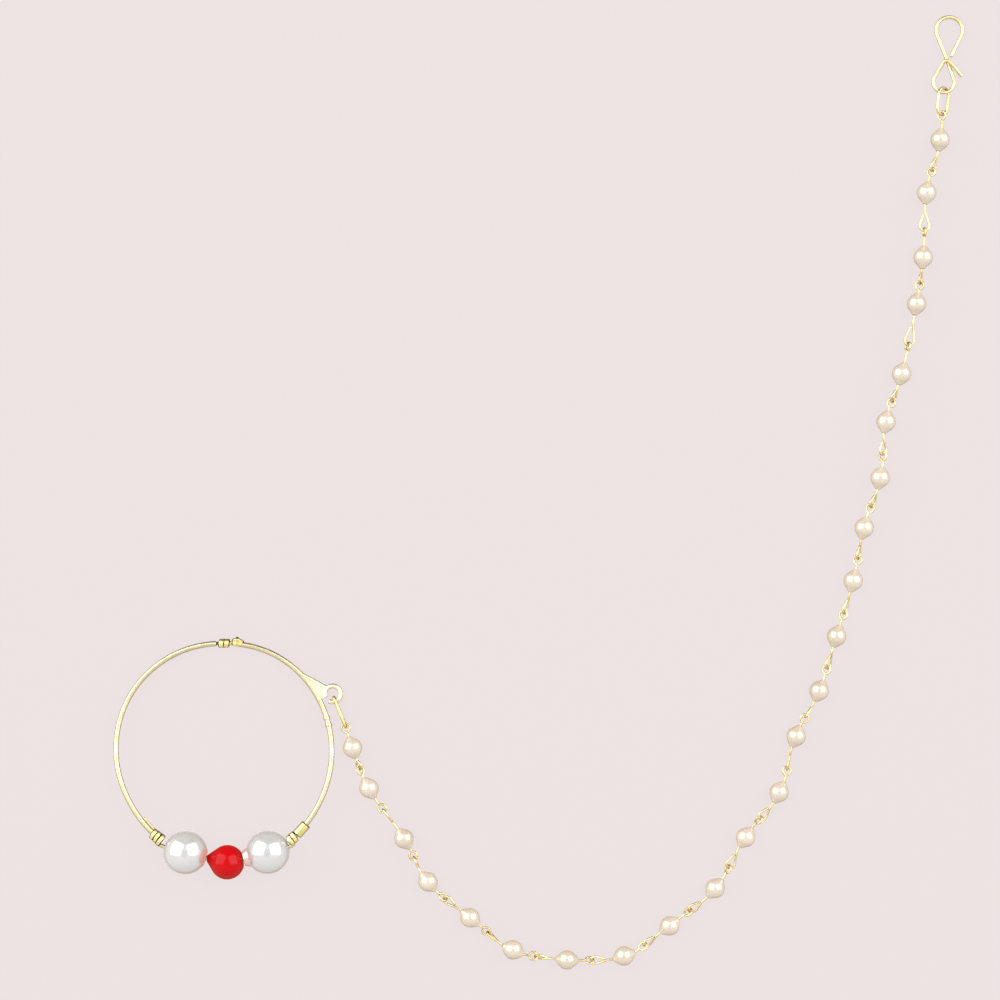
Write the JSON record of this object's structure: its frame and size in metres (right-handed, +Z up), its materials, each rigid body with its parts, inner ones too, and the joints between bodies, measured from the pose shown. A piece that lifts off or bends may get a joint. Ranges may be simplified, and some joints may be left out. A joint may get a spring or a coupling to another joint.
{
  "type": "nath nose ring",
  "caption": "Wire nose hoop with two pearls and a red bead on it, and a chain of small pearls on eyed wires that ends in a bent-wire hair hook.",
  "frame": {"origin": "bottom centre of the whole, on the surface that the jewel lies on", "axes": "+Z up from that surface; +Y from the beads towards the hoop's closure and the hair hook; the chain runs round towards +X"},
  "size_m": [0.1346, 0.151, 0.0068],
  "materials": {
    "gold_wire": "bright pale gold plate",
    "large_pearl": "pearl lustre",
    "small_pearl": "cream pearl lustre",
    "red_bead": "glossy red"
  },
  "bodies": {
    "root": {"hoop_left": "gold_wire", "hoop_right": "gold_wire", "bead_wire": "gold_wire", "crimp_sleeve": "gold_wire", "chain_links": "gold_wire", "eye_link": "gold_wire", "jump_ring": "gold_wire", "hair_hook": "gold_wire", "pearl_left": "large_pearl", "pearl_right": "large_pearl", "red_bead": "red_bead", "chain_pearl_01": "small_pearl", "chain_pearl_02": "small_pearl", "chain_pearl_03": "small_pearl", "chain_pearl_04": "small_pearl", "chain_pearl_05": "small_pearl", "chain_pearl_06": "small_pearl", "chain_pearl_07": "small_pearl", "chain_pearl_08": "small_pearl", "chain_pearl_09": "small_pearl", "chain_pearl_10": "small_pearl", "chain_pearl_11": "small_pearl", "chain_pearl_12": "small_pearl", "chain_pearl_13": "small_pearl", "chain_pearl_14": "small_pearl", "chain_pearl_15": "small_pearl", "chain_pearl_16": "small_pearl", "chain_pearl_17": "small_pearl", "chain_pearl_18": "small_pearl", "chain_pearl_19": "small_pearl", "chain_pearl_20": "small_pearl", "chain_pearl_21": "small_pearl", "chain_pearl_22": "small_pearl", "chain_pearl_23": "small_pearl", "chain_pearl_24": "small_pearl"}
  },
  "joints": []
}
